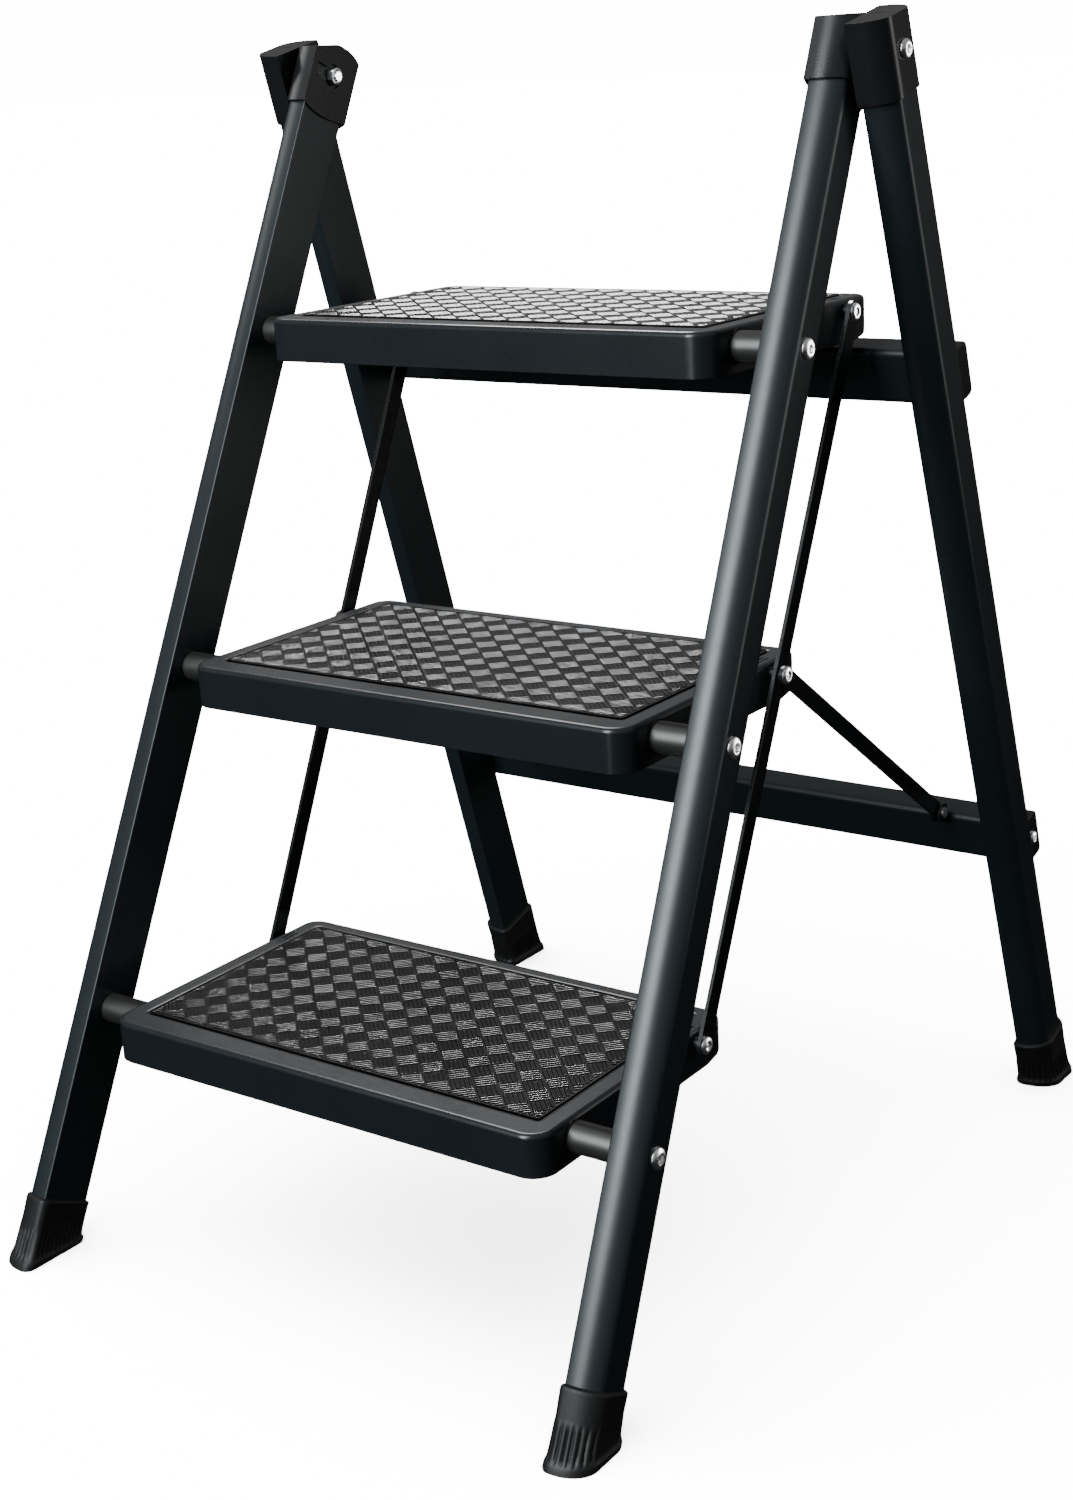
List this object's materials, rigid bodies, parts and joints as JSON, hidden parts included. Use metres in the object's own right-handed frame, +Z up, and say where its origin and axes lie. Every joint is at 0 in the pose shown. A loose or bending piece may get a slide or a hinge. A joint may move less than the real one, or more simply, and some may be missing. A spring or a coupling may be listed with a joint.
{
  "type": "folding step ladder",
  "caption": "Black folding step ladder with flat treads on pivot tubes between splayed legs, rubber mats, link bars, diagonal straps, crossbars and rubber feet.",
  "frame": {"origin": "on the floor under the centre of the overall box", "axes": "+Z up, +Y to the rear of the ladder, +X to the right seen from the front"},
  "size_m": [0.5886, 0.7078, 0.8637],
  "materials": {
    "leg_paint": "satin",
    "tray_paint": "satin",
    "cap_plastic": "matte",
    "foot_rubber": "matte",
    "mat_rubber": "matte",
    "tube_metal": "satin",
    "bar_paint": "satin",
    "bright_steel": "bright"
  },
  "bodies": {
    "front_frame": {"front_leg_left": "leg_paint", "front_leg_right": "leg_paint", "front_cap_left": "cap_plastic", "front_cap_right": "cap_plastic", "front_foot_left": "foot_rubber", "front_foot_right": "foot_rubber", "pivot_tube_top": "tube_metal", "pivot_tube_middle": "tube_metal", "pivot_tube_bottom": "tube_metal", "leg_bolts": "bright_steel", "tube_end_inserts": "cap_plastic", "top_pivot_bolts": "bright_steel", "top_pivot_nuts": "bright_steel", "top_pivot_washers": "bright_steel"},
    "rear_frame": {"rear_leg_left": "leg_paint", "rear_leg_right": "leg_paint", "rear_cap_left": "cap_plastic", "rear_cap_right": "cap_plastic", "rear_foot_left": "foot_rubber", "rear_foot_right": "foot_rubber", "upper_crossbar": "leg_paint", "lower_crossbar": "leg_paint", "crossbar_end_plugs": "cap_plastic", "crossbar_bolts": "bright_steel", "strap_bracket_left": "bar_paint", "strap_bracket_right": "bar_paint", "strap_bracket_pins": "bright_steel"},
    "step_top": {"step_tray_top": "tray_paint", "step_mat_top": "mat_rubber", "step_bushings_top": "cap_plastic", "link_rivets_top": "bright_steel"},
    "step_middle": {"step_tray_middle": "tray_paint", "step_mat_middle": "mat_rubber", "step_bushings_middle": "cap_plastic", "link_rivets_middle": "bright_steel"},
    "step_bottom": {"step_tray_bottom": "tray_paint", "step_mat_bottom": "mat_rubber", "step_bushings_bottom": "cap_plastic", "link_rivets_bottom": "bright_steel"},
    "link_left": {"link_bar_left": "bar_paint"},
    "diagonal_left": {"diagonal_strap_left": "bar_paint", "strap_rivet_left": "bright_steel"},
    "link_right": {"link_bar_right": "bar_paint"},
    "diagonal_right": {"diagonal_strap_right": "bar_paint", "strap_rivet_right": "bright_steel"}
  },
  "joints": [
    {"name": "rear_fold", "type": "hinge", "parent": "front_frame", "child": "rear_frame", "pos_m": [0, 0.07654, 0.836], "axis": [-1, 0, 0], "range_deg": [0, 36.38]},
    {"name": "step_top_pivot", "type": "hinge", "parent": "front_frame", "child": "step_top", "pos_m": [0, -0.01162, 0.652], "axis": [1, 0, 0], "range_deg": [0, 52.01]},
    {"name": "step_middle_pivot", "type": "hinge", "parent": "front_frame", "child": "step_middle", "pos_m": [0, -0.1266, 0.412], "axis": [1, 0, 0], "range_deg": [0, 52.01]},
    {"name": "step_bottom_pivot", "type": "hinge", "parent": "front_frame", "child": "step_bottom", "pos_m": [0, -0.24159, 0.172], "axis": [1, 0, 0], "range_deg": [0, 52.01]},
    {"name": "link_left_pivot", "type": "hinge", "parent": "step_middle", "child": "link_left", "pos_m": [-0.2002, 0.0234, 0.4175], "axis": [-1, 0, 0], "range_deg": [0, 52.01]},
    {"name": "diagonal_left_pivot", "type": "hinge", "parent": "rear_frame", "child": "diagonal_left", "pos_m": [-0.2045, 0.26954, 0.24], "axis": [-1, 0, 0], "range_deg": [0, 33.71]},
    {"name": "link_right_pivot", "type": "hinge", "parent": "step_middle", "child": "link_right", "pos_m": [0.2002, 0.0234, 0.4175], "axis": [-1, 0, 0], "range_deg": [0, 52.01]},
    {"name": "diagonal_right_pivot", "type": "hinge", "parent": "rear_frame", "child": "diagonal_right", "pos_m": [0.2045, 0.26954, 0.24], "axis": [-1, 0, 0], "range_deg": [0, 33.71]}
  ],
  "couplings": [
    {"joint": "step_top_pivot", "follows": "rear_fold", "ratio": 1.4292},
    {"joint": "step_middle_pivot", "follows": "rear_fold", "ratio": 1.4292},
    {"joint": "step_bottom_pivot", "follows": "rear_fold", "ratio": 1.4292},
    {"joint": "link_left_pivot", "follows": "rear_fold", "ratio": 1.4292},
    {"joint": "diagonal_left_pivot", "follows": "rear_fold", "ratio": 0.92623},
    {"joint": "link_right_pivot", "follows": "rear_fold", "ratio": 1.4292},
    {"joint": "diagonal_right_pivot", "follows": "rear_fold", "ratio": 0.92623}
  ]
}
